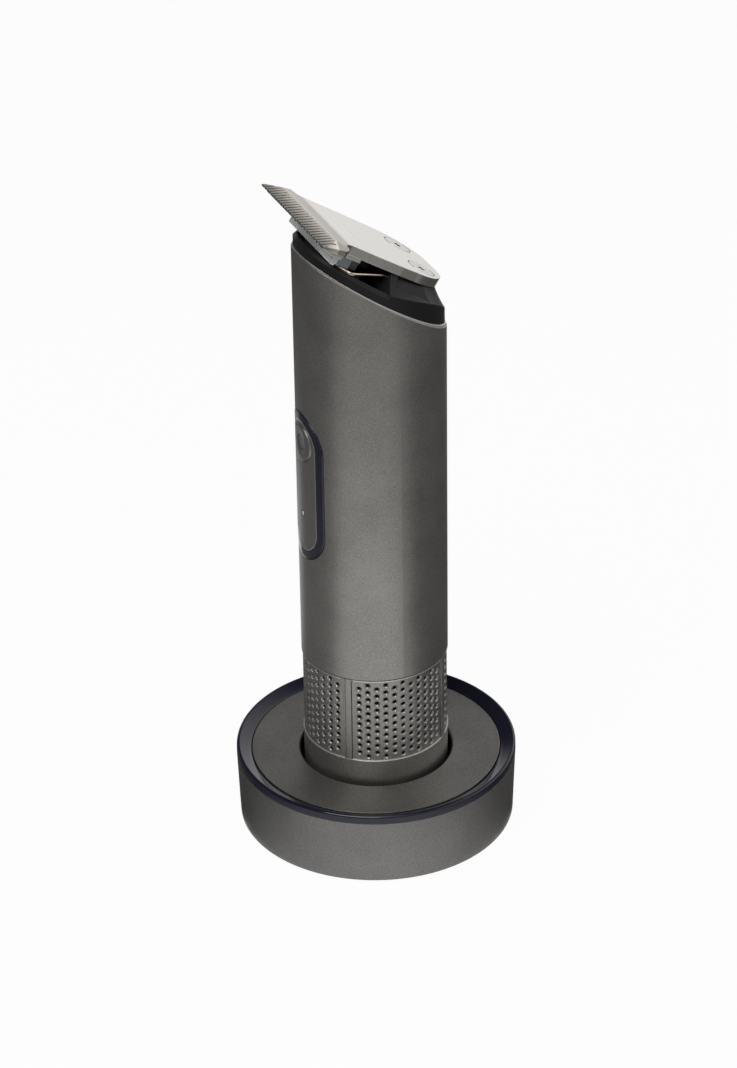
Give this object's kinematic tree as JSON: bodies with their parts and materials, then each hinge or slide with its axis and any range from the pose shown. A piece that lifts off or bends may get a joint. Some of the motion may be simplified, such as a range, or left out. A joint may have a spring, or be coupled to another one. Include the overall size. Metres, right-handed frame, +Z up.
{
  "type": "cordless trimmer with charging dock",
  "caption": "Cordless hair and body trimmer with a slanted T-blade head, perforated grip and flush button, standing in a round charging dock.",
  "frame": {"origin": "centre of the dock's footprint on the surface it stands on, below the trimmer's axis", "axes": "+Z up along the trimmer's axis, -Y toward the button and the tooth tips, +Y toward the charging inlet, +X to the right seen from the front"},
  "size_m": [0.0734, 0.0734, 0.176],
  "materials": {
    "sleeve_paint": "satin metallic warm grey",
    "grip_metal": "satin metallic warm grey",
    "dock_grey": "satin metallic paint",
    "panel_grey": "satin metallic paint",
    "gloss_navy": "polished",
    "black_plastic": "fine matt",
    "frame_plastic": "moulded",
    "rubber": "soft",
    "blade_steel": "ground",
    "cutter_steel": "ground",
    "screw_steel": "plated",
    "motor_steel": "plated",
    "carrier_grey": "moulded",
    "spring_wire": "drawn",
    "contact_plate": "plated",
    "circuit_board": "solder mask",
    "cell_wrap": "shrink film",
    "white_plastic": "moulded",
    "lamp_clear": "clear"
  },
  "bodies": {
    "dock": {"dock_shell": "dock_grey", "dock_trim_ring": "gloss_navy", "dock_deck": "dock_grey", "dock_base": "black_plastic", "dock_feet": "rubber", "dock_screws": "screw_steel", "dock_board": "circuit_board", "dock_inlet": "screw_steel", "dock_pin_barrels": "contact_plate"},
    "pin_left": {"dock_pin_left": "contact_plate"},
    "pin_right": {"dock_pin_right": "contact_plate"},
    "trimmer": {"body_sleeve": "sleeve_paint", "grille_frame": "grip_metal", "grille_fields": "grip_metal", "grille_liner": "black_plastic", "tail_cap": "panel_grey", "tail_contacts": "contact_plate", "tail_screws": "screw_steel", "inner_frame": "frame_plastic", "battery_cell": "cell_wrap", "battery_tabs": "screw_steel", "main_board": "circuit_board", "board_screws": "screw_steel", "tact_switch": "black_plastic", "indicator_led": "lamp_clear", "light_guide": "lamp_clear", "panel_trim_ring": "gloss_navy", "control_panel": "panel_grey", "motor_can": "motor_steel", "motor_screws": "screw_steel", "head_frame": "black_plastic", "head_screws": "screw_steel", "fixed_blade": "blade_steel", "blade_screws": "blade_steel", "tension_spring": "spring_wire"},
    "button": {"power_button": "panel_grey", "switch_plunger": "white_plastic"},
    "rotor": {"motor_shaft": "motor_steel", "crank_hub": "white_plastic"},
    "cutter": {"cutter_blade": "cutter_steel", "cutter_carrier": "carrier_grey"}
  },
  "joints": [
    {"name": "trimmer_lift", "type": "slide", "parent": "dock", "child": "trimmer", "axis": [0, 0, 1], "range_m": [0, 0.03]},
    {"name": "button_press", "type": "slide", "parent": "trimmer", "child": "button", "axis": [0, 1, 0], "range_m": [0, 0.0006], "stiffness_N_per_m": 2500, "springref_m": -0.0002},
    {"name": "motor_spin", "type": "hinge", "parent": "trimmer", "child": "rotor", "pos_m": [0, -0.006, 0.15], "axis": [0, 0, 1], "continuous": true},
    {"name": "cutter_stroke", "type": "slide", "parent": "trimmer", "child": "cutter", "axis": [1, 0, 0], "range_m": [-0.001, 0.001]},
    {"name": "pin_left_press", "type": "slide", "parent": "dock", "child": "pin_left", "axis": [0, 0, -1], "range_m": [0, 0.0006], "stiffness_N_per_m": 300, "springref_m": -0.001},
    {"name": "pin_right_press", "type": "slide", "parent": "dock", "child": "pin_right", "axis": [0, 0, -1], "range_m": [0, 0.0006], "stiffness_N_per_m": 300, "springref_m": -0.001}
  ]
}
